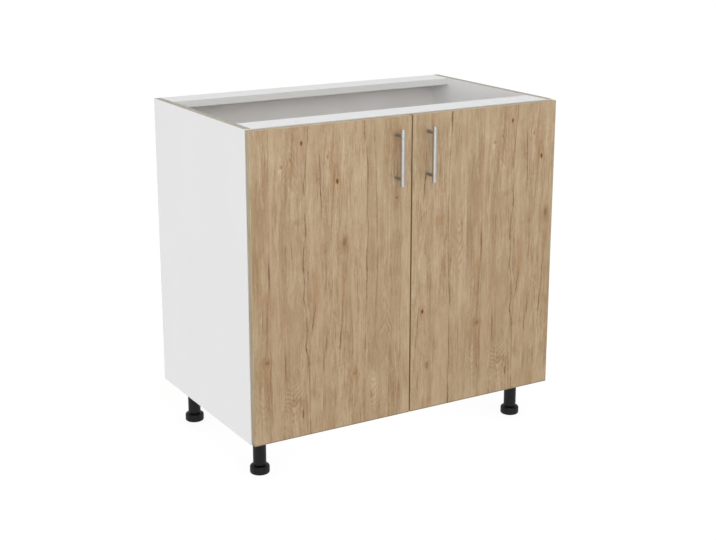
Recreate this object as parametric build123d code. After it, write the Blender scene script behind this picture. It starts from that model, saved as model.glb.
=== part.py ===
from build123d import *
import os
from math import cos, sin, radians

# Kitchen base cabinet with two doors on concealed hinges, four levelling legs.
# Frame: +X to the right, +Y to the back, +Z up, millimetres, origin on the floor
# under the middle of the overall box.  Helper coordinates: u = distance from the
# middle plane (times the side's sign), y = distance behind the carcass front edge.

# ---------------------------------------------------------------- driving sizes
WIDTH = 800.0            # carcass width
DEPTH = 480.0            # depth of the side panels
BODY_H = 700.0           # carcass height without legs
LEG_H = 98.0             # floor to underside of carcass
BOARD = 16.0             # faced chipboard
BACK_T = 3.0             # hardboard back
BAND_T = 0.6             # white edge band
DOOR_BAND_T = 1.0        # decor edge band of the doors
DOOR_T = 16.0
DOOR_GAP = 1.5           # door back to carcass front
DOOR_INSET = 1.5         # door edge inside the carcass side
DOOR_CENTRE_GAP = 3.0    # between the doors
DOOR_H = 696.0
DOOR_LOW = 2.5           # door bottom above carcass bottom
RAIL_D = 72.0            # top rail depth
SHELF_D = 440.0
SHELF_BACK = 470.0       # shelf rear edge behind the carcass front
SHELF_Z = 450.0          # shelf underside above the floor
HANDLE_R = 5.0
HANDLE_L = 126.0
HANDLE_CC = 96.0         # post centres
HANDLE_STAND = 27.0      # bar axis in front of the door
POST_R = 3.5
HANDLE_EDGE = 40.0       # post line from the door's free edge
HANDLE_TOP = 40.0        # upper post below the door top
CUP_R = 17.5
CUP_DEPTH = 12.0
CUP_EDGE = 22.5          # cup centre from the door's hinge edge
HINGE_IN = 96.0          # hinge line from the door's top and bottom
PLATE_LINE = 37.0        # plate screws behind the carcass front
LEG_U = 350.0            # leg centre from the middle plane
LEG_FRONT = 61.0
LEG_REAR = 421.0
LEG_R = 15.0
FOOT_R = 22.5
FOOT_H = 19.0
FOOT_TRAVEL = 12.0
PIVOT_U = 393.7          # door swing axis
PIVOT_Y = -12.0
PIN_U = 387.0            # hinge pin in the cup
PIN_Y = -6.5
CRANK = 6.6              # link crank inside the cup
LINK_END = 27.0          # link tail behind the carcass front

# ---------------------------------------------------------------- derived sizes
HALF = WIDTH / 2
INNER = HALF - BOARD
Z0 = LEG_H
Z1 = LEG_H + BODY_H
FRONT_OUT = DOOR_GAP + DOOR_T + HANDLE_STAND + HANDLE_R
YF = -(DEPTH + BACK_T - FRONT_OUT) / 2      # carcass front plane in the part frame
DZ0 = Z0 + DOOR_LOW
DZ1 = DZ0 + DOOR_H
D_OUT = HALF - DOOR_INSET                   # door's hinge edge
D_IN = DOOR_CENTRE_GAP / 2                  # door's free edge
Y_DB = -DOOR_GAP                            # door back face
Y_DF = -DOOR_GAP - DOOR_T                   # door front face
CUP_U = D_OUT - CUP_EDGE
HINGE_Z = (DZ1 - HINGE_IN, DZ0 + HINGE_IN)
HANDLE_U = D_IN + HANDLE_EDGE
POST_Z = (DZ1 - HANDLE_TOP, DZ1 - HANDLE_TOP - HANDLE_CC)
SIDES = {"left": -1, "right": 1}

os.makedirs("parts", exist_ok=True)


def bx(x0, x1, y0, y1, z0, z1):
    a, b = min(x0, x1), max(x0, x1)
    return Pos((a + b) / 2, YF + (y0 + y1) / 2, (z0 + z1) / 2) * Box(b - a, y1 - y0, z1 - z0)


def cx(x0, x1, y, z, r):
    return Pos((x0 + x1) / 2, YF + y, z) * Rot(0, 90, 0) * Cylinder(r, abs(x1 - x0))


def cy(y0, y1, x, z, r):
    return Pos(x, YF + (y0 + y1) / 2, z) * Rot(90, 0, 0) * Cylinder(r, y1 - y0)


def cz(z0, z1, x, y, r):
    return Pos(x, YF + y, (z0 + z1) / 2) * Cylinder(r, z1 - z0)


def aim(part, x, y, z, d):
    # part built along +Z, its +Z turned to d and its origin put at (x, y, z)
    return Plane(origin=(x, YF + y, z), z_dir=d) * part


def lathe(pts):
    return revolve(Plane.XZ * make_face(Polyline(*pts, close=True)), axis=Axis.Z)


def cross(r, depth):
    return (Pos(0, 0, -depth / 2) * Box(2 * r, 0.24 * r + 0.5, depth)
            + Pos(0, 0, -depth / 2) * Box(0.24 * r + 0.5, 2 * r, depth))


def flat_screw(head_r, shank_r, length, head_h):
    # countersunk: head flush with z = 0, point downwards
    p = lathe([(0, 0), (head_r, 0), (head_r, -0.25), (shank_r, -head_h), (shank_r, -length + 2.5),
               (0.3, -length), (0, -length)])
    return p - cross(head_r * 0.52, min(1.0, head_h * 0.6)), p


def pan_screw(head_r, head_h, shank_r, length):
    # head above z = 0, shank below
    p = lathe([(0, head_h), (head_r * 0.55, head_h), (head_r * 0.9, head_h * 0.72), (head_r, head_h * 0.35),
               (head_r, 0), (shank_r, 0), (shank_r, -length + 1.2), (shank_r - 0.8, -length), (0, -length)])
    return p - Pos(0, 0, head_h) * cross(head_r * 0.55, head_h * 0.6)


def save(name, *solids):
    flat = []
    for s in solids:
        flat += list(s.solids())
    out = flat[0] if len(flat) == 1 else Compound(children=flat)
    export_step(out, "parts/" + name + ".step")


cuts = {}


def cut(node, *tools):
    cuts.setdefault(node, []).extend(tools)


def done(node, blank):
    return blank - cuts[node] if cuts.get(node) else blank


# ---------------------------------------------------------------- fasteners of the carcass
dowels, cam_locks, cam_bolts = [], [], []


def joint_set(panel, z_low, dowel_ys, cam_ys):
    # dowels and cam fittings between one horizontal board and both sides
    zc = z_low + BOARD / 2
    for side, s in SIDES.items():
        for y in dowel_ys:
            d = cx(s * (INNER - 19), s * (INNER + 11), y, zc, 4.0)
            d = chamfer(d.edges().filter_by(GeomType.CIRCLE), 0.7)
            dowels.append(d)
            cut(panel, cx(s * (INNER - 19.5), s * INNER, y, zc, 4.0))
            cut(side + "_side_panel", cx(s * INNER, s * (INNER + 11.5), y, zc, 4.0))
        for y in cam_ys:
            u = INNER - 34
            bolt = (cx(s * INNER, s * (INNER + 11), y, zc, 2.5) + cx(s * (INNER - 1.2), s * INNER, y, zc, 3.9)
                    + cx(s * (u + 6.2), s * INNER, y, zc, 3.0) + cx(s * (u + 2.6), s * (u + 6.5), y, zc, 1.9)
                    + cx(s * (u - 0.6), s * (u + 2.6), y, zc, 3.2))
            cam_bolts.append(bolt)
            cut(side + "_side_panel", cx(s * INNER, s * (INNER + 11.2), y, zc, 2.5))
            cut(panel, cx(s * u, s * INNER, y, zc, 4.0))
            cut(panel, cz(z_low, z_low + 12.6, s * u, y, 7.5))
            cam = cz(z_low + 0.3, z_low + 12.4, s * u, y, 7.4)
            cam -= cx(s * (u - 4.5), s * (u + 7.6), y, zc, 3.45)
            cam -= Pos(s * u, YF + y, z_low + 0.3) * Rot(180, 0, 0) * cross(3.1, 2.2)
            cam_locks.append(cam)


joint_set("bottom_panel", Z0, (24, 240, 456), (120, 360))
joint_set("front_top_rail", Z1 - BOARD, (54,), (24,))
joint_set("rear_top_rail", Z1 - BOARD, (DEPTH - 54,), (DEPTH - 24,))
save("wood_dowels", *dowels)
save("cam_locks", *cam_locks)
save("cam_bolts", *cam_bolts)

# back panel nails: flat heads let in flush with the hardboard
nails = []
nail_at = [(s * (HALF - 8), z) for s in (-1, 1) for z in (128, 268, 408, 548, 688)]
nail_at += [(x, Z0 + 8) for x in (-250, -85, 85, 250)] + [(x, Z1 - 8) for x in (-250, -85, 85, 250)]
for x, z in nail_at:
    n = aim(lathe([(0, 0), (2.0, 0), (2.0, -0.7), (0.7, -0.7), (0.7, -21), (0.2, -23), (0, -23)]),
            x, DEPTH + BACK_T, z, (0, 1, 0))
    nails.append(n)
    cut("back_panel", n)
    if abs(x) > INNER:
        cut("left_side_panel" if x < 0 else "right_side_panel", n)
    else:
        cut("bottom_panel" if z < 300 else "rear_top_rail", n)
save("back_panel_nails", *nails)

# shelf pins with a flat top, one row of holes per corner
pins = []
for side, s in SIDES.items():
    for y in (70, 410):
        for k in (-2, -1, 0, 1, 2):
            cut(side + "_side_panel", cx(s * INNER, s * (INNER + 10.5), y, SHELF_Z - 2.2 + 32 * k, 2.5))
        p = cx(s * (INNER - 9), s * (INNER + 10), y, SHELF_Z - 2.2, 2.5)
        p += cx(s * (INNER - 1.6), s * INNER, y, SHELF_Z - 2.2, 4.2)
        p -= bx(s * (INNER - 9.5), s * INNER, y - 6, y + 6, SHELF_Z, SHELF_Z + 6)
        pins.append(p)
save("shelf_pins", *pins)

# ---------------------------------------------------------------- legs and feet
leg_screws = []
for fb, ly in (("front", LEG_FRONT), ("rear", LEG_REAR)):
    for side, s in SIDES.items():
        x, y = s * LEG_U, ly
        leg = lathe([(0, Z0), (29, Z0), (30, Z0 - 1), (30, Z0 - 3.4), (29.4, Z0 - 4), (19, Z0 - 4), (18, Z0 - 5),
                     (17.6, Z0 - 17), (16.8, Z0 - 18), (LEG_R, Z0 - 18), (LEG_R, FOOT_H + 2.2), (LEG_R - 1.0, FOOT_H + 1.2),
                     (9.3, FOOT_H + 1.2), (9.3, 62.1), (0, 62.1)])
        for a in (0, 90, 180, 270):
            rib = Rot(0, 0, a) * Pos(21.5, 0, Z0 - 8) * Box(9.5, 2.2, 9)
            rib -= Rot(0, 0, a) * Pos(30, 0, Z0 - 15.5) * Rot(0, 45, 0) * Box(18, 4, 18)
            leg += rib
        at = Pos(x, YF + y, 0)
        leg = at * leg
        for a in (45, 135, 225, 315):
            sx, sy = x + 24.5 * cos(radians(a)), y + 24.5 * sin(radians(a))
            sc, hole = [aim(k, sx, sy, Z0 - 4, (0, 0, -1)) for k in flat_screw(3.4, 1.7, 15.5, 2.2)]
            leg_screws.append(sc)
            cut("bottom_panel", hole)
            leg -= hole
        save(fb + "_" + side + "_leg", leg)
        pts = [(0, 0), (FOOT_R - 3.5, 0), (FOOT_R - 1.6, 0.5), (FOOT_R - 0.5, 1.6), (FOOT_R, 3.4), (FOOT_R, FOOT_H - 4.2),
               (FOOT_R - 0.6, FOOT_H - 2.2), (FOOT_R - 1.8, FOOT_H - 0.8), (FOOT_R - 3.8, FOOT_H), (11.0, FOOT_H), (9.0, FOOT_H + 0.6)]
        zt = FOOT_H + 2.0
        while zt < 58:
            pts += [(9.0, zt), (8.0, zt + 0.9), (8.0, zt + 1.6), (9.0, zt + 2.5)]
            zt += 3.4
        pts += [(9.0, 60.8), (8.0, 61.9), (0, 61.9)]
        foot = lathe(pts)
        for a in range(0, 360, 30):
            foot -= Rot(0, 0, a) * Pos(FOOT_R + 1.35, 0, 9.0) * Cylinder(2.2, 8.6)
        save(fb + "_" + side + "_foot", at * foot)
save("leg_screws", *leg_screws)

# ---------------------------------------------------------------- doors, handles and hinges
plate_screws, arm_screws = [], []
for side, s in SIDES.items():
    door = bx(s * (D_IN + DOOR_BAND_T), s * (D_OUT - DOOR_BAND_T), Y_DF, Y_DB,
              DZ0 + DOOR_BAND_T, DZ1 - DOOR_BAND_T)
    # decor edge bands, outer long edges eased
    bands = []
    for u0, u1, z0, z1, flat in ((D_IN, D_IN + DOOR_BAND_T, DZ0, DZ1, "in"), (D_OUT - DOOR_BAND_T, D_OUT, DZ0, DZ1, "out"),
                                 (D_IN + DOOR_BAND_T, D_OUT - DOOR_BAND_T, DZ0, DZ0 + DOOR_BAND_T, "low"),
                                 (D_IN + DOOR_BAND_T, D_OUT - DOOR_BAND_T, DZ1 - DOOR_BAND_T, DZ1, "top")):
        b = bx(s * u0, s * u1, Y_DF, Y_DB, z0, z1)
        if flat in ("in", "out"):
            edge_x = s * (u0 if flat == "in" else u1)
            e = [k for k in b.edges().filter_by(Axis.Z) if abs(k.center().X - edge_x) < 1e-6]
        else:
            edge_z = z0 if flat == "low" else z1
            e = [k for k in b.edges().filter_by(Axis.X) if abs(k.center().Z - edge_z) < 1e-6]
        bands.append(fillet(e, 0.85))
    save(side + "_door_edge_bands", *bands)

    # handle: round bar, two posts with saddle ends, screws from inside the door
    hx = s * HANDLE_U
    y_bar = Y_DF - HANDLE_STAND
    zm = (POST_Z[0] + POST_Z[1]) / 2
    bar = cz(zm - HANDLE_L / 2, zm + HANDLE_L / 2, hx, y_bar, HANDLE_R)
    bar = chamfer(bar.edges().filter_by(GeomType.CIRCLE), 0.7)
    posts, h_screws = [], []
    for z in POST_Z:
        post = cy(y_bar, Y_DF, hx, z, POST_R) + cy(Y_DF - 1.6, Y_DF, hx, z, POST_R + 1.0)
        post -= cz(z - 10, z + 10, hx, y_bar, HANDLE_R)
        sc = aim(pan_screw(4.2, 2.4, 2.0, DOOR_T + 9), hx, Y_DB, z, (0, 1, 0))
        post -= cy(Y_DF - 10, Y_DF, hx, z, 2.0)
        posts.append(post)
        h_screws.append(sc)
        door -= cy(Y_DF - 1, Y_DB + 1, hx, z, 2.3)
    save(side + "_handle_bar", bar)
    save(side + "_handle_posts", *posts)
    save(side + "_handle_screws", *h_screws)

    # soft stops between door and carcass
    bumpers = []
    for z in (Z0 + 8.5, Z1 - 8.5):
        b = cy(Y_DB, Y_DB + 1.4, s * (D_IN + 24), z, 4.0)
        bumpers.append(fillet([k for k in b.edges().filter_by(GeomType.CIRCLE) if abs(k.center().Y - (YF + Y_DB + 1.4)) < 1e-6], 0.7))
    save(side + "_door_bumpers", *bumpers)

    pins_c, cup_screws, links = [], [], []
    for where, hz in zip(("upper", "lower"), HINGE_Z):
        cu = s * CUP_U
        # cup with screw ears, notched at the rim for the link
        cup = cy(Y_DB - CUP_DEPTH, Y_DB, cu, hz, CUP_R) + cy(Y_DB, Y_DB + 1.0, cu, hz, CUP_R + 0.7)
        ear_u = CUP_U - 7.0
        cup += bx(s * (ear_u - 7), s * (ear_u + 7), Y_DB, Y_DB + 1.0, hz - 24, hz + 24)
        for k in (-1, 1):
            cup += cy(Y_DB, Y_DB + 1.0, s * ear_u, hz + 24 * k, 7.0)
        cup -= cy(Y_DB - CUP_DEPTH + 1.0, Y_DB + 2, cu, hz, CUP_R - 1.0)
        cup -= bx(s * (CUP_U + 8), s * (CUP_U + 20), Y_DB, Y_DB + 2, hz - 7.6, hz + 7.6)
        door -= cy(Y_DB - CUP_DEPTH, Y_DB + 1, cu, hz, CUP_R)
        for k in (-1, 1):
            sc = aim(pan_screw(3.3, 1.5, 1.75, 13.0), s * ear_u, Y_DB + 1.0, hz + 24 * k, (0, 1, 0))
            cup_screws.append(sc)
            cup -= cy(Y_DB - 0.5, Y_DB + 1.0, s * ear_u, hz + 24 * k, 1.75)
            door -= aim(lathe([(0, 0), (1.75, 0), (1.75, -11.8), (0.95, -13.0), (0, -13.0)]),
                        s * ear_u, Y_DB + 1.0, hz + 24 * k, (0, 1, 0))
        pin = cz(hz - 12, hz + 12, s * PIN_U, PIN_Y, 1.5)
        cup -= pin
        pins_c.append(pin)
        save(side + "_" + where + "_hinge_cup", cup)

        # cranked link: knuckle on the pin, crank, strap running back into the arm
        su = PIN_U - CRANK
        link = cz(hz - 6, hz + 6, s * PIN_U, PIN_Y, 3.0)
        link += bx(s * PIN_U, s * (su - 1.0), PIN_Y - 1.0, PIN_Y + 1.0, hz - 6, hz + 6)
        strap = bx(s * (su - 1.0), s * (su + 1.0), PIN_Y - 1.0, LINK_END, hz - 6, hz + 6)
        strap -= cx(s * (su - 3), s * (su + 3), 14.5, hz, 2.4)
        link += strap
        link -= cz(hz - 7, hz + 7, s * PIN_U, PIN_Y, 1.56)
        tail = [k for k in link.edges().filter_by(Axis.X) if k.center().Y > YF + LINK_END - 0.01]
        link = fillet(tail, 3.5)
        links.append(link)

        # mounting plate: wings for the screws, boss that carries the arm
        plate = bx(s * INNER, s * (INNER - 3), PLATE_LINE - 7, PLATE_LINE + 7, hz - 18, hz + 18)
        for k in (-1, 1):
            plate += cx(s * INNER, s * (INNER - 3), PLATE_LINE, hz + 18 * k, 7.0)
        plate += bx(s * INNER, s * (INNER - 3), PLATE_LINE - 7, 64, hz - 6.8, hz + 6.8)
        boss = bx(s * (INNER - 3), s * (INNER - 13.5), 33, 60, hz - 6.8, hz + 6.8)
        boss = fillet([k for k in boss.edges().filter_by(Axis.X)], 2.0)
        plate += boss
        for k in (-1, 1):
            sc, hole = [aim(q, s * (INNER - 3), PLATE_LINE, hz + 16 * k, (-s, 0, 0))
                        for q in flat_screw(3.9, 2.6, 13.0, 2.4)]
            plate_screws.append(sc)
            plate -= hole
            cut(side + "_side_panel", hole)
        asc = aim(pan_screw(3.8, 1.8, 2.2, 11.0), s * (INNER - 15), 47, hz, (-s, 0, 0))
        arm_screws.append(asc)
        arm_screws.append(aim(pan_screw(2.6, 1.0, 1.6, 8.0), s * (INNER - 15), 57, hz, (-s, 0, 0)))
        plate -= cx(s * (INNER - 3), s * (INNER - 15), 47, hz, 2.2)
        plate -= cx(s * (INNER - 5), s * (INNER - 15), 57, hz, 1.6)
        save(side + "_" + where + "_hinge_plate", plate)

        # arm: folded channel, open towards the panel and at both ends
        arm = bx(s * (INNER - 3.2), s * (INNER - 15), 2, 66, hz - 8.4, hz + 8.4)
        arm = fillet([k for k in arm.edges().filter_by(Axis.Y) if abs(k.center().X) < INNER - 14], 1.6)
        arm -= bx(s * (INNER - 2), s * (INNER - 13.5), 0, 70, hz - 6.9, hz + 6.9)
        arm -= cx(s * (INNER - 10), s * (INNER - 16), 47, hz, 2.2)
        arm -= cx(s * (INNER - 10), s * (INNER - 16), 57, hz, 1.6)
        # the flanges rise towards the nose
        for k in (-1, 1):
            arm -= Pos(s * (INNER - 3.2), YF + 2, hz + 7.6 * k) * Rot(0, 0, s * 22) * Box(8, 26, 4)
        save(side + "_" + where + "_hinge_arm", arm)
    save(side + "_hinge_cup_screws", *cup_screws)
    save(side + "_hinge_pins", *pins_c)
    save(side + "_hinge_links", *links)
    save(side + "_door_panel", door)
save("hinge_plate_screws", *plate_screws)
save("hinge_arm_screws", *arm_screws)

# ---------------------------------------------------------------- carcass boards
for side, s in SIDES.items():
    panel = bx(s * INNER, s * HALF, BAND_T, DEPTH, Z0, Z1)
    save(side + "_side_panel", done(side + "_side_panel", panel))
    band = bx(s * INNER, s * HALF, 0, BAND_T, Z0, Z1)
    save(side + "_side_edge_band", fillet([k for k in band.edges().filter_by(Axis.Z) if k.center().Y < YF + 0.01], 0.45))

bottom = bx(-INNER, INNER, BAND_T, DEPTH, Z0, Z0 + BOARD)
save("bottom_panel", done("bottom_panel", bottom))
band = bx(-INNER, INNER, 0, BAND_T, Z0, Z0 + BOARD)
save("bottom_panel_edge_band", fillet([k for k in band.edges().filter_by(Axis.X) if k.center().Y < YF + 0.01], 0.45))

# top rails with screw holes for the worktop
RAIL_HOLES = (-260.0, 260.0)
front = bx(-INNER, INNER, BAND_T, RAIL_D, Z1 - BOARD, Z1)
rear = bx(-INNER, INNER, DEPTH - RAIL_D + BAND_T, DEPTH, Z1 - BOARD, Z1)
for x in RAIL_HOLES:
    front -= cz(Z1 - BOARD - 1, Z1 + 1, x, 36, 2.5)
    rear -= cz(Z1 - BOARD - 1, Z1 + 1, x, DEPTH - 36, 2.5)
save("front_top_rail", done("front_top_rail", front))
save("rear_top_rail", done("rear_top_rail", rear))
rail_bands = []
for y in (0, DEPTH - RAIL_D):
    b = bx(-INNER, INNER, y, y + BAND_T, Z1 - BOARD, Z1)
    rail_bands.append(fillet([k for k in b.edges().filter_by(Axis.X) if k.center().Y < YF + y + 0.01], 0.45))
save("top_rail_edge_bands", *rail_bands)

back = bx(-HALF + 1, HALF - 1, DEPTH, DEPTH + BACK_T, Z0 + 1, Z1 - 1)
save("back_panel", done("back_panel", back))

SHELF_HALF = INNER - 1
shelf = bx(-SHELF_HALF, SHELF_HALF, SHELF_BACK - SHELF_D + BAND_T, SHELF_BACK, SHELF_Z, SHELF_Z + BOARD)
save("shelf", shelf)
band = bx(-SHELF_HALF, SHELF_HALF, SHELF_BACK - SHELF_D, SHELF_BACK - SHELF_D + BAND_T, SHELF_Z, SHELF_Z + BOARD)
save("shelf_edge_band", fillet([k for k in band.edges().filter_by(Axis.X) if k.center().Y < YF + SHELF_BACK - SHELF_D + 0.01], 0.45))
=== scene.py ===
import bpy
import math
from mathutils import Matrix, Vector

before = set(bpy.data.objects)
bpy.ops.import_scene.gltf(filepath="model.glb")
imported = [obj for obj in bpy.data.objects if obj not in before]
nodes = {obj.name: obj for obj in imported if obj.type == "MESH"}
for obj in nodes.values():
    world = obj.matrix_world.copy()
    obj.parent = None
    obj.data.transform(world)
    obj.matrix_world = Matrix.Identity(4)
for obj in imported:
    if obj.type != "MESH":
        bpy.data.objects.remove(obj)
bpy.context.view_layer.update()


def lin(r, g, b):
    def one(c):
        c /= 255.0
        return c / 12.92 if c <= 0.04045 else ((c + 0.055) / 1.055) ** 2.4
    return (one(r), one(g), one(b), 1.0)


# ------------------------------------------------------------------ node helpers
class Tree:
    def __init__(self, name):
        self.mat = bpy.data.materials.new(name)
        self.mat.use_nodes = True
        self.t = self.mat.node_tree
        self.t.nodes.clear()
        self.out = self.t.nodes.new("ShaderNodeOutputMaterial")
        self.bsdf = self.t.nodes.new("ShaderNodeBsdfPrincipled")
        self.t.links.new(self.bsdf.outputs[0], self.out.inputs[0])
        self.tc = self.t.nodes.new("ShaderNodeTexCoord")

    def put(self, sock, v):
        if isinstance(v, bpy.types.NodeSocket):
            self.t.links.new(v, sock)
        else:
            sock.default_value = v

    def set(self, name, v):
        self.put(self.bsdf.inputs[name], v)

    @property
    def obj(self):
        return self.tc.outputs["Object"]

    @property
    def nrm(self):
        return self.tc.outputs["Normal"]

    def math(self, op, a, b=0.0, c=0.0, clamp=False):
        n = self.t.nodes.new("ShaderNodeMath")
        n.operation = op
        n.use_clamp = clamp
        self.put(n.inputs[0], a)
        self.put(n.inputs[1], b)
        self.put(n.inputs[2], c)
        return n.outputs[0]

    def add(self, a, b): return self.math("ADD", a, b)
    def sub(self, a, b): return self.math("SUBTRACT", a, b)
    def mul(self, a, b): return self.math("MULTIPLY", a, b)
    def mad(self, a, b, c): return self.math("MULTIPLY_ADD", a, b, c)
    def clamp(self, a): return self.math("ADD", a, 0.0, clamp=True)

    def vec(self, op, a, b=(0, 0, 0)):
        n = self.t.nodes.new("ShaderNodeVectorMath")
        n.operation = op
        self.put(n.inputs[0], a)
        self.put(n.inputs[1], b)
        return n.outputs["Value"] if op in ("LENGTH", "DOT_PRODUCT", "DISTANCE") else n.outputs["Vector"]

    def sep(self, v):
        n = self.t.nodes.new("ShaderNodeSeparateXYZ")
        self.put(n.inputs[0], v)
        return n.outputs

    def xyz(self, x, y, z):
        n = self.t.nodes.new("ShaderNodeCombineXYZ")
        for k, v in enumerate((x, y, z)):
            self.put(n.inputs[k], v)
        return n.outputs[0]

    def noise(self, v, scale=1.0, detail=2.0, rough=0.5, dist=0.0):
        n = self.t.nodes.new("ShaderNodeTexNoise")
        self.put(n.inputs["Vector"], v)
        n.inputs["Scale"].default_value = scale
        n.inputs["Detail"].default_value = detail
        n.inputs["Roughness"].default_value = rough
        n.inputs["Distortion"].default_value = dist
        return n.outputs[0]

    def voronoi(self, v, scale=1.0, feature="F1", rand=1.0):
        n = self.t.nodes.new("ShaderNodeTexVoronoi")
        n.feature = feature
        self.put(n.inputs["Vector"], v)
        n.inputs["Scale"].default_value = scale
        n.inputs["Randomness"].default_value = rand
        return n.outputs

    def white(self, v):
        n = self.t.nodes.new("ShaderNodeTexWhiteNoise")
        n.noise_dimensions = "3D"
        self.put(n.inputs["Vector"], v)
        return n.outputs

    def map(self, v, a, b, c=0.0, d=1.0, smooth=True):
        n = self.t.nodes.new("ShaderNodeMapRange")
        n.interpolation_type = "SMOOTHSTEP" if smooth else "LINEAR"
        self.put(n.inputs[0], v)
        for k, q in zip((1, 2, 3, 4), (a, b, c, d)):
            n.inputs[k].default_value = q
        return n.outputs[0]

    def mix(self, f, a, b, mode="MIX"):
        n = self.t.nodes.new("ShaderNodeMix")
        n.data_type = "RGBA"
        n.blend_type = mode
        n.clamp_factor = True
        self.put(n.inputs[0], f)
        self.put(n.inputs[6], a)
        self.put(n.inputs[7], b)
        return n.outputs[2]

    def ramp(self, f, stops, mode="LINEAR"):
        n = self.t.nodes.new("ShaderNodeValToRGB")
        r = n.color_ramp
        r.interpolation = mode
        while len(r.elements) > 1:
            r.elements.remove(r.elements[0])
        r.elements[0].position, r.elements[0].color = stops[0]
        for p, c in stops[1:]:
            r.elements.new(p).color = c
        self.put(n.inputs[0], f)
        return n.outputs[0]

    def bump(self, h, strength=0.2, dist=0.001, normal=None):
        n = self.t.nodes.new("ShaderNodeBump")
        n.inputs["Strength"].default_value = strength
        n.inputs["Distance"].default_value = dist
        self.put(n.inputs["Height"], h)
        if normal is not None:
            self.t.links.new(normal, n.inputs["Normal"])
        return n.outputs[0]


# ------------------------------------------------------------------ oak decor
# The decor sheet repeats every 551 mm across the two doors, so one list serves both.
REPEAT_AT, REPEAT = 0.151, 0.551
# upright staves: lower limit in metres, steps lighter or darker than the plain tone, seed
TONE = (182, 156.5, 124)
STAVES = [
    (-0.420, -2, 0.11), (-0.355, 1, 0.37), (-0.335, -1, 0.53), (-0.267, 1, 0.71), (-0.231, 0, 0.97), (-0.152, 2, 0.05),
    (-0.118, -1, 0.29), (-0.060, -2, 0.63), (-0.027, 2, 0.83), (0.000, 0, 0.47), (0.041, -1, 0.78), (0.060, 2, 0.19),
    (0.105, -1, 0.61), (0.127, 1, 0.92),
]
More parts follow.
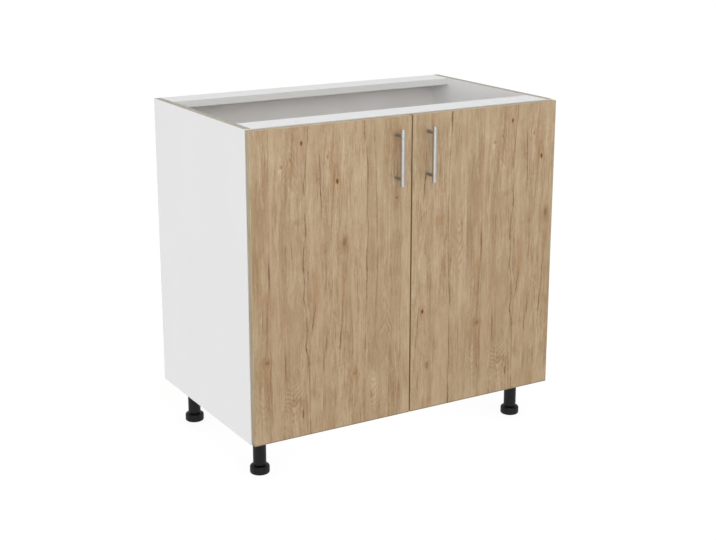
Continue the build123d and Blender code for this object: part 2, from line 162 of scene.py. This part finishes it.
# dark lines along the grain: half width (mm), then height (m), place across (mm), depth of colour
PATHS = [
    (2.0, [(0.800, -262, 0.50), (0.772, -262, 0.80), (0.750, -264, 0.35), (0.720, -266, 0.40), (0.690, -270, 0.50),
           (0.672, -273, 0.85), (0.640, -271, 0.45), (0.600, -270, 0.55), (0.570, -268, 0.75), (0.540, -272, 0.50),
           (0.505, -276, 0.90), (0.480, -275, 0.75), (0.450, -272, 0.50), (0.420, -275, 0.55), (0.380, -268, 0.45),
           (0.340, -267, 0.60), (0.306, -271, 0.95), (0.280, -265, 0.90), (0.250, -263, 0.35), (0.215, -262, 0.50),
           (0.170, -262, 0.40), (0.130, -261, 0.65), (0.100, -261, 0.55)]),
    (1.8, [(0.745, -234, 0.0), (0.715, -233, 0.75), (0.660, -232, 0.95), (0.640, -231, 0.75), (0.600, -229, 0.65), (0.580, -228, 0.0)]),
    (1.9, [(0.690, -198, 0.0), (0.660, -199, 0.50), (0.610, -203, 0.60), (0.560, -206, 0.45), (0.515, -207, 0.0)]),
    (1.9, [(0.800, -122, 0.30), (0.770, -122, 0.45), (0.720, -116, 0.50), (0.690, -113, 0.70), (0.640, -114, 0.40),
           (0.590, -115, 0.55), (0.560, -112, 0.50), (0.520, -115, 0.55), (0.480, -116, 0.90), (0.445, -115, 1.00),
           (0.420, -116, 0.65), (0.380, -118, 0.80), (0.330, -119, 0.45), (0.260, -121, 0.50), (0.200, -122, 0.25), (0.120, -122, 0.35)]),
    (2.2, [(0.800, -99, 0.20), (0.765, -97, 0.50), (0.700, -93, 0.35), (0.650, -92, 0.45), (0.600, -90, 0.60), (0.560, -90, 0.65),
           (0.520, -89, 0.30), (0.460, -88, 0.50), (0.400, -90, 0.35), (0.360, -91, 0.0)]),
    (1.9, [(0.800, 106, 0.90), (0.775, 106, 1.00), (0.755, 106, 0.55), (0.740, 106, 0.40), (0.704, 103, 0.55), (0.640, 101, 0.30),
           (0.596, 100, 0.55), (0.560, 100, 0.50), (0.520, 101, 0.20), (0.470, 102, 0.45), (0.400, 103, 0.55), (0.365, 108, 0.85),
           (0.330, 106, 0.40), (0.300, 105, 0.45), (0.240, 107, 0.80), (0.210, 108, 0.65), (0.170, 105, 0.55), (0.115, 106, 1.00), (0.100, 106, 0.95)]),
    (2.1, [(0.770, 38, 0.0), (0.720, 38, 0.45), (0.680, 37, 0.60), (0.655, 36, 1.00), (0.630, 34, 0.95), (0.615, 35, 0.50), (0.600, 32, 0.35), (0.550, 30, 0.0)]),
    (1.7, [(0.360, 22, 0.0), (0.345, 23, 0.55), (0.325, 20, 0.80), (0.300, 18, 0.60), (0.270, 15, 0.50), (0.240, 12, 0.30), (0.190, 10, 0.0)]),
    (2.1, [(0.440, -174, 0.0), (0.400, -177, 0.35), (0.360, -179, 0.40), (0.342, -180, 0.70), (0.330, -182, 1.00), (0.315, -183, 1.00),
           (0.297, -184, 0.75), (0.265, -187, 0.35), (0.210, -189, 0.0)]),
    (2.4, [(0.540, -359, 0.0), (0.500, -358, 0.65), (0.460, -358, 0.75), (0.435, -358, 0.0)]),
    (1.8, [(0.405, -245, 0.0), (0.385, -248, 0.70), (0.365, -251, 0.60), (0.350, -254, 0.70), (0.330, -256, 0.35), (0.305, -257, 0.0)]),
    (2.6, [(0.340, -322, 0.0), (0.290, -322, 0.50), (0.260, -321, 0.85), (0.245, -320, 0.45), (0.215, -319, 0.0)]),
    (2.0, [(0.315, 131, 0.0), (0.280, 132, 0.50), (0.240, 133, 0.55), (0.210, 132, 0.45), (0.170, 131, 0.0)]),
    (1.6, [(0.335, -218, 0.0), (0.310, -218, 0.65), (0.285, -222, 0.30), (0.265, -226, 0.55), (0.250, -227, 0.40), (0.230, -228, 0.0)]),
    (1.5, [(0.555, -318, 0.0), (0.535, -318, 0.60), (0.510, -317, 0.50), (0.490, -316, 0.0)]),
    (1.6, [(0.565, -305, 0.0), (0.540, -304, 0.55), (0.515, -302, 0.60), (0.480, -300, 0.30), (0.450, -303, 0.0)]),
    (1.5, [(0.790, 131, 0.45), (0.770, 131, 0.20), (0.735, 131, 0.50), (0.700, 131, 0.20), (0.640, 130, 0.35), (0.600, 129, 0.0)]),
]
# small knots and nicks: across, height, half width, half height (m), depth of colour
KNOTS = [
    (-0.2765, 0.761, 0.0026, 0.0044, 0.90), (-0.1900, 0.668, 0.0029, 0.0054, 1.00), (0.0320, 0.339, 0.0028, 0.0054, 1.00),
    (-0.3250, 0.713, 0.0034, 0.0046, 0.34), (-0.3660, 0.287, 0.0042, 0.0040, 0.36), (-0.2790, 0.153, 0.0014, 0.0100, 0.75),
    (-0.0400, 0.615, 0.0026, 0.0028, 0.50), (-0.1730, 0.533, 0.0046, 0.0080, 0.30), (0.0460, 0.207, 0.0040, 0.0080, 0.32),
    (-0.1470, 0.223, 0.0044, 0.0046, 0.24), (-0.2140, 0.727, 0.0022, 0.0040, 0.40), (-0.1030, 0.165, 0.0030, 0.0050, 0.45),
]
# soft stains, warm and dull: across, height, half width, half length (m), depth of colour
WARM = [
    (-0.048, 0.745, 0.017, 0.060, 0.50), (-0.050, 0.628, 0.011, 0.016, 0.50), (-0.372, 0.432, 0.013, 0.020, 0.60),
    (-0.245, 0.425, 0.011, 0.045, 0.45), (0.034, 0.690, 0.008, 0.050, 0.45), (0.037, 0.612, 0.008, 0.012, 0.50),
    (-0.374, 0.262, 0.019, 0.022, 0.40), (-0.147, 0.218, 0.013, 0.016, 0.75), (-0.322, 0.268, 0.008, 0.038, 0.55),
    (0.072, 0.548, 0.014, 0.016, 0.55), (-0.200, 0.730, 0.010, 0.060, 0.30), (-0.176, 0.430, 0.007, 0.040, 0.45),
    (0.050, 0.118, 0.012, 0.012, 0.45), (-0.200, 0.130, 0.010, 0.030, 0.30), (-0.300, 0.700, 0.014, 0.030, 0.25),
]
DULL = [
    (-0.173, 0.528, 0.012, 0.024, 0.65), (0.048, 0.204, 0.009, 0.015, 0.60), (0.054, 0.160, 0.009, 0.040, 0.30),
    (-0.368, 0.288, 0.018, 0.014, 0.55), (-0.286, 0.590, 0.014, 0.009, 0.40), (-0.254, 0.198, 0.010, 0.012, 0.40),
    (-0.290, 0.184, 0.018, 0.008, 0.40), (-0.031, 0.150, 0.007, 0.040, 0.50), (-0.390, 0.490, 0.012, 0.050, 0.35),
    (-0.378, 0.600, 0.016, 0.050, 0.30), (-0.376, 0.670, 0.012, 0.030, 0.30), (-0.048, 0.340, 0.016, 0.050, 0.30),
]
# nested arches: across, tip height, half width, window height, half window, slope, pitch, sense
ARCHES = [
    (-0.377, 0.150, 0.026, 0.225, 0.080, 2.2, 0.0170, 1), (-0.302, 0.120, 0.032, 0.190, 0.070, 1.8, 0.0150, 1),
    (-0.092, 0.120, 0.028, 0.165, 0.065, 2.0, 0.0150, 1), (-0.304, 0.800, 0.032, 0.705, 0.070, 1.6, 0.0160, -1),
    (0.129, 0.560, 0.024, 0.480, 0.110, 3.4, 0.0240, 1), (-0.066, 0.420, 0.028, 0.330, 0.110, 3.6, 0.0260, -1),
]


def wood(r, g, b):
    return tuple(0.765 * k for k in lin(r, g, b)[:3]) + (1.0,)


def oak(name, panel=True, tint=None, rough=0.5):
    m = Tree(name)
    s = m.sep(m.obj)
    x, y, z = s[0], s[1], s[2]
    if panel:
        across, along = x, z
    else:
        # bands: the grain runs along each band
        flat = m.map(m.math("ABSOLUTE", m.sep(m.nrm)[2]), 0.6, 0.8)
        across = m.mad(flat, m.sub(y, x), m.mad(y, 1.7, x))
        along = m.mad(flat, m.sub(x, z), z)
    u = m.sub(across, m.mul(m.math("GREATER_THAN", across, REPEAT_AT), REPEAT))
    f = m.map(u, -0.42, 0.16, 0.0, 1.0, smooth=False)

    def at(v):
        return max(0.0, (v + 0.42) / 0.58)

    tone = m.ramp(f, [(at(a), wood(*[c + 2.0 * k for c in TONE])) for a, k, _ in STAVES], "CONSTANT")
    seed = m.mul(m.ramp(f, [(at(a), (q, q, q, 1)) for a, _, q in STAVES], "CONSTANT"), 41.0)

    # the fibres wander, and pass round each knot
    slow = m.noise(m.xyz(m.mul(u, 7.0), 2.7, m.mul(along, 3.6)), 1.0, 1.0)
    quick = m.noise(m.xyz(m.mul(u, 30.0), 5.1, m.mul(along, 13.0)), 1.0, 2.0)
    c = m.mad(m.sub(quick, 0.5), 0.0085, m.mad(m.sub(slow, 0.5), 0.0180, u))
    ragged = m.noise(m.xyz(m.mul(u, 150.0), 3.0, m.mul(along, 90.0)), 1.0, 2.0)
    core = halo = None
    if panel:
        flat_p = m.xyz(m.mad(m.sub(ragged, 0.5), 0.0036, u), 0.0, m.mad(m.sub(quick, 0.5), 0.010, along))

        def blot(rows, outer, inner_painted_light):
            out = None
            for kx, kz, a, b, d in rows:
                r = m.vec("LENGTH", m.vec("MULTIPLY", m.vec("SUBTRACT", flat_p, (kx, 0, kz)), (1 / a, 0, 1 / b)))
                k = m.map(r, outer, inner_painted_light, 0.0, d)
                out = k if out is None else m.math("MAXIMUM", out, k)
            return out

        for kx, kz, a, b, d in KNOTS:
            r = m.vec("LENGTH", m.vec("MULTIPLY", m.vec("SUBTRACT", flat_p, (kx, 0, kz)), (1 / a, 0, 1 / b)))
            k = m.mul(m.map(r, 1.45, 0.70, 0.0, d), m.mad(m.math("SINE", m.mul(m.mad(ragged, 0.8, r), 9.0)), 0.06, 0.95))
            h = m.map(r, 5.5, 0.6, 0.0, 1.0)
            core = k if core is None else m.math("MAXIMUM", core, k)
            halo = m.mul(h, d) if halo is None else m.math("MAXIMUM", halo, m.mul(h, d))
            c = m.mad(m.mul(m.sub(u, kx), h), -0.55, c)

    # streaks at four widths, cut afresh in every stave
    wide = m.noise(m.xyz(m.mul(c, 42.0), seed, m.mul(along, 3.8)), 1.0, 2.0, 0.55)
    mid = m.noise(m.xyz(m.mul(c, 125.0), seed, m.mul(along, 8.0)), 1.0, 3.0, 0.6)
    fine = m.noise(m.xyz(m.mul(c, 420.0), seed, m.mul(along, 20.0)), 1.0, 2.0, 0.6)
    pore = m.noise(m.xyz(m.mul(c, 1500.0), seed, m.mul(along, 85.0)), 1.0, 1.0, 0.5)
    cloud = m.noise(m.xyz(m.mul(u, 20.0), seed, m.mul(along, 13.0)), 1.0, 3.0, 0.55)
    fleck = m.noise(m.xyz(m.mul(c, 190.0), seed, m.mul(along, 46.0)), 1.0, 2.0, 0.6)
    nick = m.noise(m.xyz(m.mul(c, 330.0), m.add(seed, 3.0), m.mul(along, 125.0)), 1.0, 2.0, 0.6)
    mottle = m.noise(m.xyz(m.mul(c, 62.0), m.add(seed, 6.0), m.mul(along, 24.0)), 1.0, 2.0, 0.55)

    # calm and busy stretches
    busy = m.map(m.noise(m.xyz(m.mul(u, 16.0), m.add(seed, 12.0), m.mul(along, 4.5)), 1.0, 1.0), 0.34, 0.66, 0.58, 1.14)
    streak = m.mul(m.sub(mid, 0.5), 0.86)
    streak = m.mad(m.sub(fine, 0.5), 0.95, streak)
    streak = m.mad(m.sub(fleck, 0.5), 0.50, streak)
    streak = m.mad(m.sub(nick, 0.5), 0.46, streak)
    t = m.mad(m.sub(wide, 0.5), 0.80, 0.5)
    t = m.mad(streak, busy, t)
    t = m.mad(m.sub(cloud, 0.5), 0.50, t)
    t = m.mad(m.sub(mottle, 0.5), 0.26, t)

    if panel:
        # growth lines where the board was cut through the heart
        rings = None
        for kx, kz, hw, wz, wh, slope, pitch, sense in ARCHES:
            du = m.sub(c, kx)
            v = m.math("SQRT", m.mad(du, du, 0.00004))
            g = m.mad(v, -slope / pitch, m.mul(m.sub(along, kz), sense / pitch))
            g = m.math("SINE", m.mul(m.mad(slow, 3.0, m.mad(quick, 3.2, m.add(g, m.mul(halo, 1.2)))), 6.2832))
            r = m.vec("LENGTH", m.vec("MULTIPLY", m.vec("SUBTRACT", flat_p, (kx, 0, wz)), (1 / hw, 0, 1 / wh)))
            g = m.mul(g, m.map(r, 1.2, 0.2))
            rings = g if rings is None else m.add(rings, g)
        t = m.mad(m.mul(rings, m.map(cloud, 0.35, 0.65, 0.30, 1.0)), 0.16, t)
        t = m.mad(halo, -0.10, t)

    dark = wood(145, 108, 69)
    light = wood(207, 185, 154)
    col = m.mix(m.map(t, 0.49, 0.02, 0.0, 0.80, smooth=False), tone, dark)
    col = m.mix(m.map(t, 0.49, 0.98, 0.0, 0.95, smooth=False), col, light)
    hue = m.noise(m.xyz(m.mul(c, 34.0), m.add(seed, 9.0), m.mul(along, 4.2)), 1.0, 2.0)
    col = m.mix(m.map(hue, 0.56, 0.76, 0.0, 0.40), col, wood(190, 156, 129))
    col = m.mix(m.map(hue, 0.46, 0.24, 0.0, 0.45), col, wood(174, 153, 114))
    col = m.mix(m.map(pore, 0.60, 0.76, 0.0, 0.26), col, wood(124, 92, 58))
    if panel:
        grainy = m.map(mid, 0.75, 0.28, 0.35, 1.0)
        col = m.mix(m.mul(blot(WARM, 1.4, 0.1), grainy), col, wood(172, 130, 86))
        col = m.mix(m.mul(blot(DULL, 1.4, 0.1), grainy), col, wood(146, 110, 66))
        wob = m.mad(m.sub(ragged, 0.5), 0.0030, u)
        zf = m.map(along, 0.0, 0.9, 0.0, 1.0, smooth=False)
        lines = None
        for half, stops in PATHS:
            stops = sorted(stops)
            base = sum(q[1] for q in stops) / len(stops) / 1000
            off = m.ramp(zf, [(q / 0.9, (0.5 + (p / 1000 - base) / 0.06,) * 3 + (1,)) for q, p, _ in stops])
            deep = m.ramp(zf, [(q / 0.9, (d, d, d, 1)) for q, _, d in stops])
            d = m.math("ABSOLUTE", m.sub(m.sub(wob, base - 0.03), m.mul(off, 0.06)))
            k = m.mul(m.map(d, half / 1000 * 1.45, 0.0), deep)
            lines = k if lines is None else m.math("MAXIMUM", lines, k)
        lines = m.mul(lines, m.map(m.add(m.mul(fleck, 0.6), m.mul(mottle, 0.4)), 0.64, 0.40, 0.42, 1.0))
        col = m.mix(lines, col, wood(106, 62, 22))
        col = m.mix(m.mul(halo, 0.6), col, (1.0, 0.88, 0.70, 1), "MULTIPLY")
        col = m.mix(m.mul(core, m.map(fleck, 0.75, 0.35, 0.90, 1.0)), col, wood(82, 45, 8))
    # painted shade and light: the doors are darkened towards their foot and lifted a little at the top, standing in for
    # the light falling off down the doors
    col = m.mix(1.0, col, m.ramp(m.map(z, 0.0, 0.9, 0.0, 1.0, smooth=False), [
        (0.11, (0.950, 0.925, 0.885, 1)), (0.33, (0.965, 0.945, 0.915, 1)), (0.50, (0.985, 0.970, 0.950, 1)),
        (0.69, (1.0, 0.995, 0.985, 1)), (0.88, (1.020, 1.020, 1.015, 1))]), "MULTIPLY")
    if tint:
        # bands: greyer on the outer edges; browner where the two doors meet, a painted tone for the shaded gap lit by
        # brown light bounced between the two bands
        outer = m.map(m.math("ABSOLUTE", x), 0.004, 0.012)
        col = m.mix(1.0, col, m.mix(outer, (*tint[0], 1), (*tint[1], 1)), "MULTIPLY")
    # painted shade: a dull grey line along the foot of the doors, over the lower band and the lowest strip of the face,
    # standing in for the shade on the eased lower edge
    col = m.mix(m.map(z, 0.1042, 0.1026), col, (0.66, 0.68, 0.71, 1), "MULTIPLY")
    m.set("Base Color", col)
    m.set("Roughness", m.map(fine, 0.3, 0.7, rough + 0.06, rough - 0.05))
    m.set("Normal", m.bump(m.mad(m.map(pore, 0.60, 0.76), -0.9, m.mul(fine, 0.5)), 0.22, 0.00035))
    m.bsdf.inputs["Specular IOR Level"].default_value = 0.28
    return m.mat


# ------------------------------------------------------------------ boards
def chip_colour(m, P):
    # raw chipboard: flat flakes in a few browns, dark pores between them
    big = m.voronoi(m.vec("MULTIPLY", P, (520, 380, 520)), 1.0)
    small = m.voronoi(m.vec("MULTIPLY", P, (1300, 1000, 1300)), 1.0)
    k = m.sep(big[1])[0]
    k2 = m.sep(small[1])[1]
    col = m.ramp(k, [(0.0, lin(124, 114, 101)), (0.3, lin(161, 153, 140)), (0.6, lin(179, 172, 160)), (1.0, lin(200, 194, 183))])
    col = m.mix(0.45, col, m.ramp(k2, [(0.0, lin(134, 124, 111)), (0.5, lin(175, 168, 156)), (1.0, lin(198, 192, 181))]))
    gaps = m.noise(m.vec("MULTIPLY", P, (700, 700, 700)), 1.0, 2.0)
    col = m.mix(m.map(gaps, 0.66, 0.76, 0.0, 0.7), col, lin(92, 83, 73))
    return col, m.add(m.mul(k, 0.5), m.mul(gaps, -0.6))


def board(name, white=(226, 226, 226), raw="none"):
    # white facing; raw says which faces are left unfaced
    m = Tree(name)
    P = m.obj
    cloud = m.noise(P, 7.0, 2.0)
    col = m.mix(m.map(cloud, 0.3, 0.7), lin(*[c - 1 for c in white]), lin(*[c + 0.6 for c in white]))
    pearl = m.noise(P, 1500.0, 2.0, 0.6)
    soft = m.noise(P, 260.0, 1.0, 0.5)
    h = m.add(m.mul(pearl, 0.6), m.mul(soft, 0.5))
    rough = m.map(pearl, 0.3, 0.7, 0.36, 0.48)
    if raw != "none":
        n = m.sep(m.nrm)
        az = m.math("ABSOLUTE", n[2])
        if raw == "side":
            # painted light: the inner faces of the sides are painted a shade whiter than the outside, to lift the
            # shaded inside of the carcass
            inner_painted_light = m.map(m.mul(m.sep(P)[0], n[0]), -0.1, -0.3)
            col = m.mix(inner_painted_light, col, (1.12, 1.12, 1.12, 1), "MULTIPLY")
            mask = m.math("MAXIMUM", m.map(az, 0.6, 0.8), m.map(n[1], 0.6, 0.8))
        elif raw == "rear":
            mask = m.map(n[1], 0.6, 0.8)
        else:
            mask = m.math("MAXIMUM", m.map(m.math("ABSOLUTE", n[0]), 0.6, 0.8), m.map(n[1], 0.6, 0.8))
        chip, ch = chip_colour(m, P)
        col = m.mix(mask, col, chip)
        rough = m.mad(mask, m.sub(0.85, rough), rough)
        h = m.mad(mask, m.sub(m.mul(ch, 3.0), h), h)
    m.set("Base Color", col)
    m.set("Roughness", rough)
    m.set("Normal", m.bump(h, 0.12, 0.0003))
    m.bsdf.inputs["Specular IOR Level"].default_value = 0.35
    return m.mat


def hardboard(name):
    m = Tree(name)
    P = m.obj
    n = m.sep(m.nrm)
    outside = m.map(n[1], -0.2, 0.4)
    edge = m.map(m.math("ABSOLUTE", n[1]), 0.6, 0.4)
    brown = m.mix(m.map(m.noise(P, 320.0, 4.0, 0.65), 0.3, 0.7), lin(118, 93, 69), lin(150, 123, 96))
    fib = m.noise(m.vec("MULTIPLY", P, (900, 900, 220)), 1.0, 3.0, 0.7)
    brown = m.mix(m.map(fib, 0.62, 0.78, 0.0, 0.6), brown, lin(176, 150, 122))
    brown = m.mix(m.map(m.noise(P, 4.0, 2.0), 0.4, 0.7, 0.0, 0.35), brown, lin(126, 103, 81))
    cloud = m.noise(P, 6.0, 2.0)
    white = m.mix(m.map(cloud, 0.3, 0.7), lin(223, 221, 219), lin(229, 228, 226))
    col = m.mix(m.math("MAXIMUM", outside, edge), white, brown)
    m.set("Base Color", col)
    m.set("Roughness", m.mad(outside, 0.28, 0.44))
    m.set("Normal", m.bump(m.mad(fib, 0.6, m.noise(P, 900.0, 2.0)), 0.16, 0.0004))
    m.bsdf.inputs["Specular IOR Level"].default_value = 0.3
    return m.mat


# ------------------------------------------------------------------ plastics and metals
def plastic(name, base, lift, rough, grain=1600.0):
    m = Tree(name)
    P = m.obj
    g = m.noise(P, grain, 3.0, 0.6)
    c = m.noise(P, 45.0, 2.0)
    m.set("Base Color", m.mix(m.map(m.add(m.mul(g, 0.5), m.mul(c, 0.5)), 0.3, 0.7), lin(*base), lin(*lift)))
    m.set("Roughness", m.map(m.add(m.mul(g, 0.6), m.mul(c, 0.4)), 0.3, 0.7, rough - 0.07, rough + 0.10))
    m.set("Normal", m.bump(g, 0.30, 0.0004))
    m.bsdf.inputs["Specular IOR Level"].default_value = 0.2
    return m.mat


def metal(name, base, rough, along="z", brush=1.0):
    m = Tree(name)
    P = m.obj
    sc = {"z": (60, 60, 3000), "y": (60, 3000, 60), "none": (900, 900, 900)}[along]
    if along == "z":
        # turned bar: the marks run round it, so its shine spreads up and down
        tan = m.t.nodes.new("ShaderNodeTangent")
        tan.direction_type = "RADIAL"
        tan.axis = "Z"
        m.set("Tangent", tan.outputs[0])
        m.bsdf.inputs["Anisotropic"].default_value = 0.75
        m.bsdf.inputs["Anisotropic Rotation"].default_value = 0.25
    b = m.noise(m.vec("MULTIPLY", P, sc), 1.0, 3.0, 0.6)
    cloud = m.noise(P, 70.0, 2.0)
    lo = tuple(int(c * 0.88) for c in base)
    col = m.mix(m.map(b, 0.3, 0.7), lin(*lo), lin(*base))
    col = m.mix(m.map(cloud, 0.45, 0.75, 0.0, 0.35), col, lin(*lo))
    m.set("Base Color", col)
    m.bsdf.inputs["Metallic"].default_value = 1.0
    m.set("Roughness", m.map(m.add(m.mul(b, 0.7), m.mul(cloud, 0.3)), 0.3, 0.7, rough - 0.08, rough + 0.10))
    m.set("Normal", m.bump(b, 0.10 * brush, 0.0002))
    return m.mat


def plated(name, base, rough):
    # nickel over pressed steel: smooth, with faint drawing marks and soft handling haze
    m = Tree(name)
    P = m.obj
    haze = m.noise(P, 38.0, 3.0, 0.55)
    draw = m.noise(m.vec("MULTIPLY", P, (3200, 420, 3200)), 1.0, 2.0, 0.5)
    lo = tuple(int(c * 0.95) for c in base)
    m.set("Base Color", m.mix(m.map(haze, 0.35, 0.7), lin(*base), lin(*lo)))
    m.bsdf.inputs["Metallic"].default_value = 1.0
    m.set("Roughness", m.map(m.add(m.mul(haze, 0.7), m.mul(draw, 0.3)), 0.3, 0.7, rough - 0.05, rough + 0.07))
    m.set("Normal", m.bump(draw, 0.03, 0.0002))
    return m.mat


def beech(name):
    m = Tree(name)
    s = m.sep(m.obj)
    g = m.noise(m.xyz(m.mul(s[0], 40.0), m.mul(s[1], 900.0), m.mul(s[2], 900.0)), 1.0, 3.0, 0.6)
    m.set("Base Color", m.mix(m.map(g, 0.3, 0.7), lin(176, 140, 100), lin(212, 182, 142)))
    m.set("Roughness", m.map(g, 0.3, 0.7, 0.6, 0.75))
    m.set("Normal", m.bump(g, 0.3, 0.0004))
    return m.mat


def bumper(name):
    m = Tree(name)
    g = m.noise(m.obj, 900.0, 2.0)
    m.set("Base Color", m.mix(m.map(g, 0.3, 0.7), lin(206, 206, 202), lin(224, 224, 221)))
    m.set("Roughness", m.map(g, 0.3, 0.7, 0.22, 0.34))
    m.set("Normal", m.bump(g, 0.08, 0.0003))
    return m.mat


MATS = {
    "oak_face": oak("oak_face"),
    "oak_band": oak("oak_band", panel=False, tint=((1.0, 0.98, 0.90), (1.10, 1.24, 1.36)), rough=0.46),
    "board_side": board("board_side", raw="side"),
    "board_flat": board("board_flat", raw="rear"),
    "board_shelf": board("board_shelf", raw="shelf"),
    "white_band": board("white_band", (224, 224, 224)),
    # the rail edge bands are a greyer copy of the white band: painted shade for the shade on the rails' front edges
    "rail_band": board("rail_band", (211, 211, 209)),
    "hardboard": hardboard("hardboard"),
    "black_plastic": plastic("black_plastic", (12, 12, 13), (20, 20, 21), 0.46),
    "handle_bar": metal("handle_bar", (203, 200, 196), 0.46, "z"),
    # the posts are a darker metal than the bar: painted shade for the shade the posts sit in between bar and door
    "handle_post": metal("handle_post", (176, 170, 163), 0.42, "y"),
    "nickel": plated("nickel", (207, 204, 198), 0.24),
    "zinc": metal("zinc", (196, 198, 202), 0.34, "none", 0.8),
    "cast_zinc": metal("cast_zinc", (176, 177, 180), 0.46, "none", 1.4),
    "beech": beech("beech"),
    "bumper": bumper("bumper"),
}


def finish_of(n):
    if n.endswith("door_panel"):
        return "oak_face"
    if n.endswith("door_edge_bands"):
        return "oak_band"
    if n.endswith("side_panel"):
        return "board_side"
    if n == "shelf":
        return "board_shelf"
    if n in ("bottom_panel", "front_top_rail", "rear_top_rail"):
        return "board_flat"
    if n == "top_rail_edge_bands":
        return "rail_band"
    if "edge_band" in n:
        return "white_band"
    if n == "back_panel":
        return "hardboard"
    if n.endswith("_leg") or n.endswith("_foot"):
        return "black_plastic"
    if n.endswith("handle_bar"):
        return "handle_bar"
    if n.endswith("handle_posts"):
        return "handle_post"
    if n in ("cam_locks", "cam_bolts"):
        return "cast_zinc"
    if "screws" in n or n in ("shelf_pins", "back_panel_nails"):
        return "zinc"
    if n == "wood_dowels":
        return "beech"
    if n.endswith("bumpers"):
        return "bumper"
    return "nickel"


for name, ob in nodes.items():
    mat = MATS[finish_of(name)]
    if ob.material_slots:
        for sl in ob.material_slots:
            sl.link = "OBJECT"
            sl.material = mat
    else:
        ob.data.materials.append(mat)

# ------------------------------------------------------------------ floor, light, camera
scene = bpy.context.scene
me = bpy.data.meshes.new("floor")
S = 30.0
me.from_pydata([(-S, -S, 0), (S, -S, 0), (S, S, 0), (-S, S, 0)], [], [(0, 1, 2, 3)])
floor = bpy.data.objects.new("floor", me)
scene.collection.objects.link(floor)
fm = bpy.data.materials.new("floor_paper")
fm.use_nodes = True
fb = fm.node_tree.nodes["Principled BSDF"]
fb.inputs["Base Color"].default_value = (0.13, 0.13, 0.13, 1)
fb.inputs["Roughness"].default_value = 0.9
fb.inputs["Specular IOR Level"].default_value = 0.0
fb.inputs["Emission Color"].default_value = (1, 1, 1, 1)
fb.inputs["Emission Strength"].default_value = 0.895
me.materials.append(fm)

# white studio all round, with a broad low fill in front and a soft top light; dimmer to the right
class Sky(Tree):
    def __init__(self, name):
        self.world = bpy.data.worlds.new(name)
        self.world.use_nodes = True
        self.t = self.world.node_tree
        self.tc = self.t.nodes.new("ShaderNodeTexCoord")
        self.bg = self.t.nodes["Background"]


sky = Sky("studio")
dx, dy, dz = sky.sep(sky.tc.outputs["Generated"])[:3]
above = sky.map(dz, 0.15, 0.42)
right = sky.map(dx, -0.15, 0.85)
ahead = sky.map(dy, 0.10, -0.80)
level = sky.mad(above, sky.mad(right, -0.14, sky.mad(ahead, -0.08, -0.50)), 1.03)
level = sky.mad(sky.map(dz, 0.60, 0.90), sky.sub(1.25, level), level)
toward = sky.mad(dx, -0.342, sky.mul(dy, -0.940))
fill = sky.mul(sky.map(toward, 0.60, 0.88), sky.mul(sky.map(dz, 0.02, 0.08), sky.map(dz, 0.42, 0.32)))
sky.bg.inputs[0].default_value = (1, 1, 1, 1)
sky.put(sky.bg.inputs[1], sky.mad(fill, 1.55, level))
scene.world = sky.world
scene.view_settings.view_transform = "Standard"
scene.view_settings.look = "None"
scene.view_settings.exposure = 0.0
scene.view_settings.gamma = 1.0

# soft key from the front left, above
key = bpy.data.lights.new("key", "AREA")
key.shape = "DISK"
key.size = 1.3
key.energy = 20.0
ko = bpy.data.objects.new("key", key)
ko.visible_camera = False
scene.collection.objects.link(ko)
ko.location = (-0.62, -2.45, 2.35)
ko.rotation_euler = (Vector((0.0, -0.1, 0.35)) - Vector(ko.location)).to_track_quat("-Z", "Y").to_euler()

cam = bpy.data.cameras.new("camera")
cam.lens = 68.0
cam.sensor_width = 36.0
cam.sensor_fit = "HORIZONTAL"
cam.clip_end = 100
cam.shift_y = -0.03
co = bpy.data.objects.new("camera", cam)
scene.collection.objects.link(co)
co.location = (-1.5953, -2.6960, 1.2898)
co.rotation_euler = (math.radians(90 - 15.198), 0, math.radians(-30.612))
scene.camera = co
